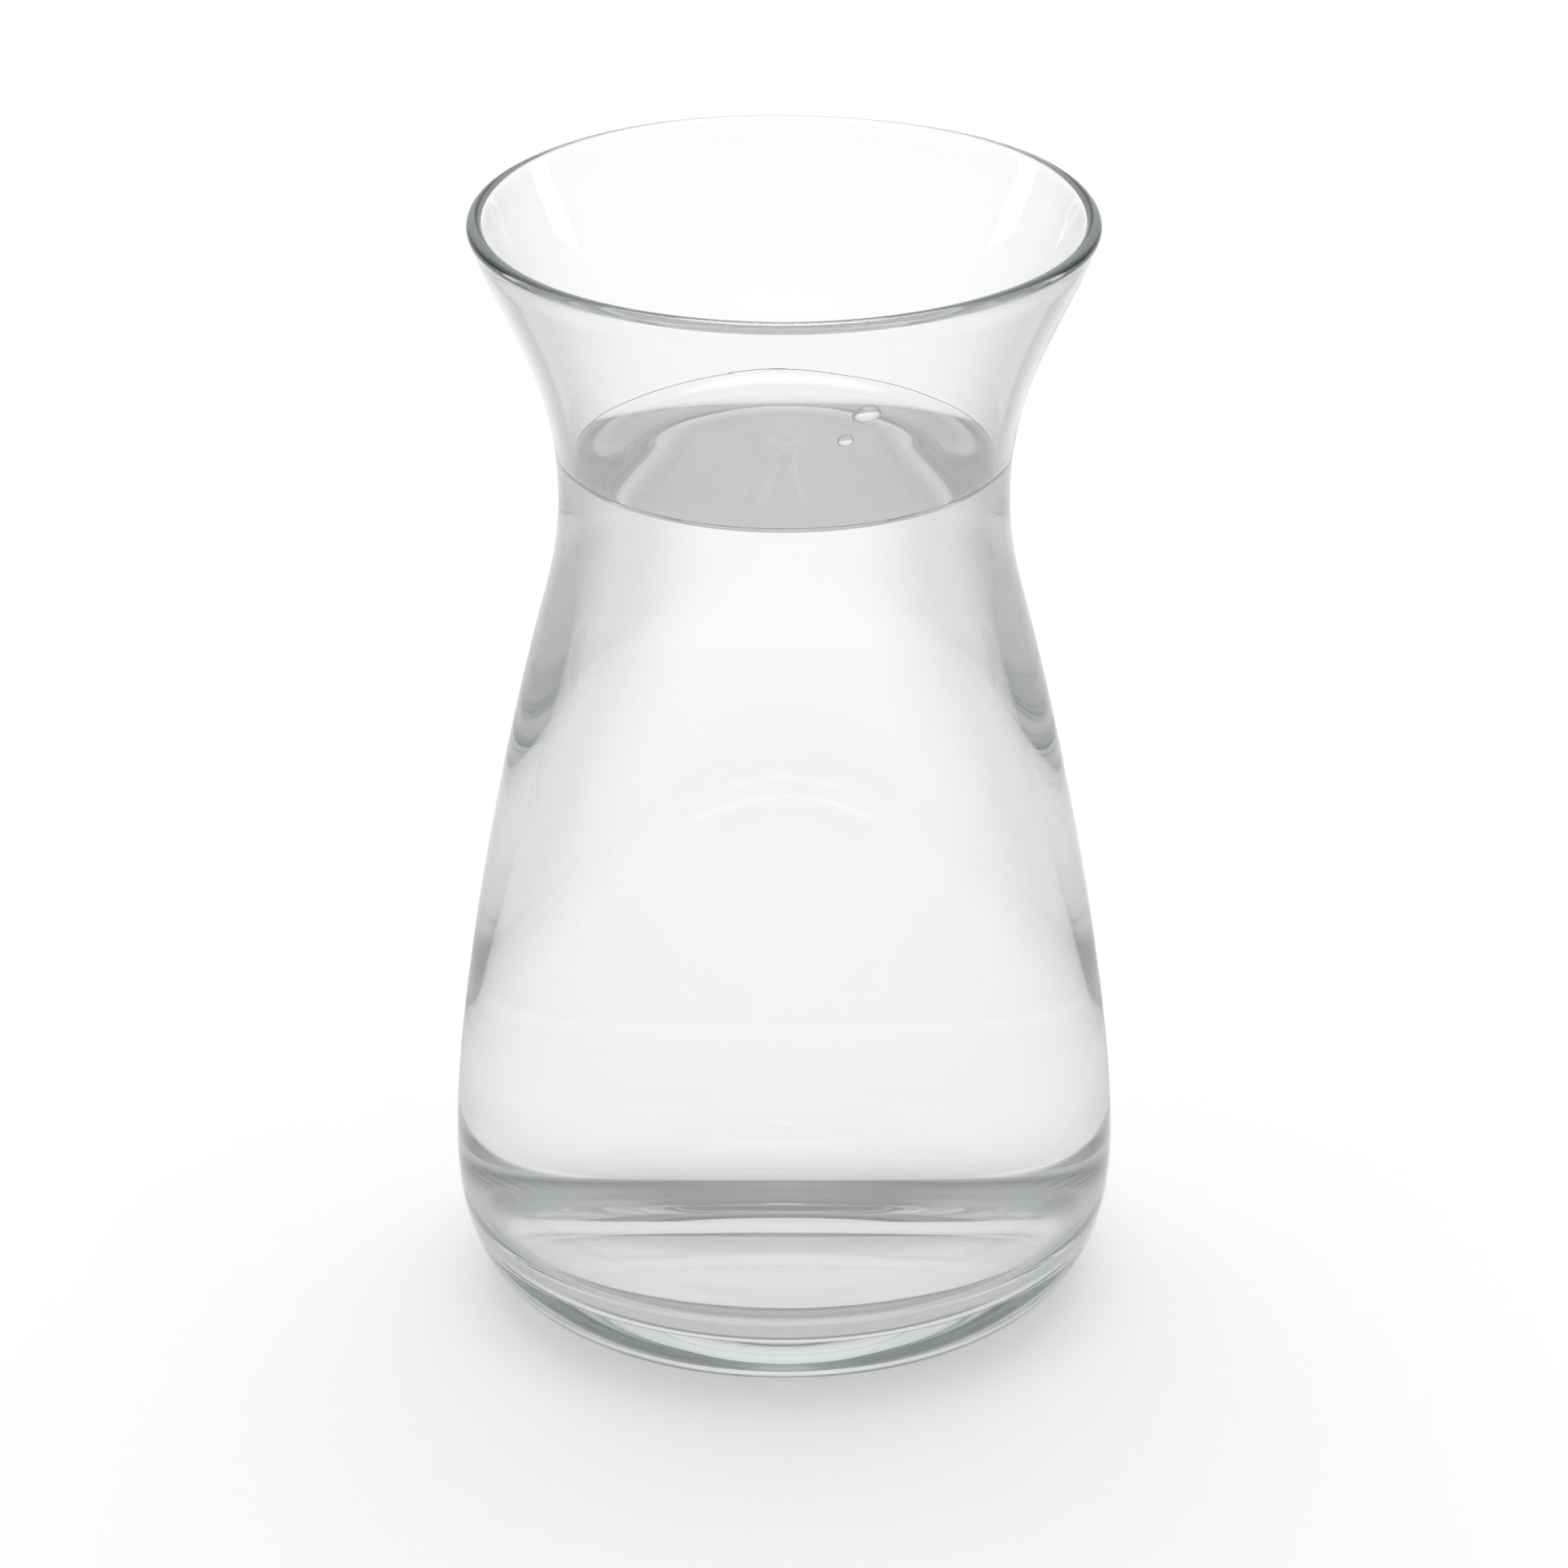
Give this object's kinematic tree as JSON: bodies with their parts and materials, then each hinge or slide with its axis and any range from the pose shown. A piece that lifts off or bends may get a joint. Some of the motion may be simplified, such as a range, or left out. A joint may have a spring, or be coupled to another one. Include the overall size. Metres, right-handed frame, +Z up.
{
  "type": "glass vase",
  "caption": "Clear glass gathering vase with a flared round mouth, narrow neck and bell-shaped body, filled with water to the neck to hold cut flower stems.",
  "frame": {"origin": "centre of the foot, on the plane of the table that the vase stands on", "axes": "+Z up along the vase's axis of symmetry; the vase is round, so +X and +Y are any two square directions"},
  "size_m": [0.147, 0.147, 0.25],
  "materials": {
    "clear_glass": "fire-polished smooth clear soda-lime glass",
    "water": "clear still water"
  },
  "bodies": {
    "root": {"glass_vessel": "clear_glass", "water": "water"}
  },
  "joints": []
}
